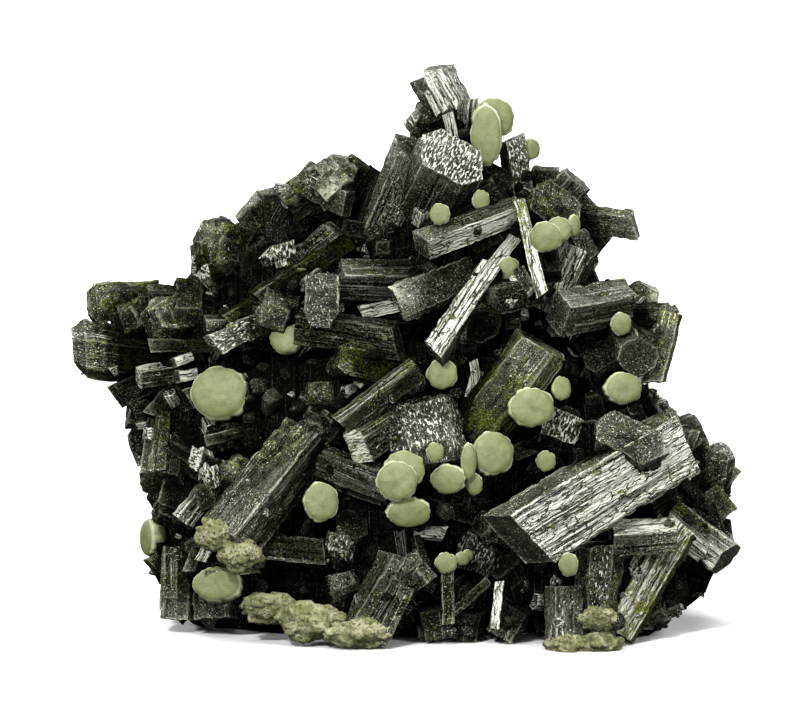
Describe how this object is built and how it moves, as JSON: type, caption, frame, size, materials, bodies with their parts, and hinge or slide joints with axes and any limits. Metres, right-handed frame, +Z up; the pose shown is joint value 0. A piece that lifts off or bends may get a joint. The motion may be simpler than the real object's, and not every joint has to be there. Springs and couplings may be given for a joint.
{
  "type": "epidote crystal cluster",
  "caption": "Peaked cluster of intergrown dark green epidote prisms dotted with pale green prehnite balls, with patches of pale matrix along its flat-cut base.",
  "frame": {"origin": "centre of the bounding box in plan, at the flat cut base", "axes": "+X to the right along the cluster's width as its front is seen, -Y towards the viewer of the front, +Z up"},
  "size_m": [0.0838, 0.0565, 0.0695],
  "materials": {
    "epidote": "gloss",
    "prehnite": "satin",
    "matrix": "matte"
  },
  "bodies": {
    "root": {"epidote_crystals": "epidote", "matrix_base_crust": "matrix", "matrix_chip": "matrix", "matrix_prism_cap": "matrix", "matrix_right_crust": "matrix", "prehnite_bead": "prehnite", "prehnite_beam": "prehnite", "prehnite_blade": "prehnite", "prehnite_centre": "prehnite", "prehnite_corner": "prehnite", "prehnite_crescent": "prehnite", "prehnite_east": "prehnite", "prehnite_great": "prehnite", "prehnite_large": "prehnite", "prehnite_lintel": "prehnite", "prehnite_low": "prehnite", "prehnite_middle": "prehnite", "prehnite_north": "prehnite", "prehnite_row": "prehnite", "prehnite_shield": "prehnite", "prehnite_sill": "prehnite", "prehnite_slot": "prehnite", "prehnite_striped": "prehnite", "prehnite_stub": "prehnite", "prehnite_summit": "prehnite", "prehnite_tower": "prehnite"}
  },
  "joints": []
}
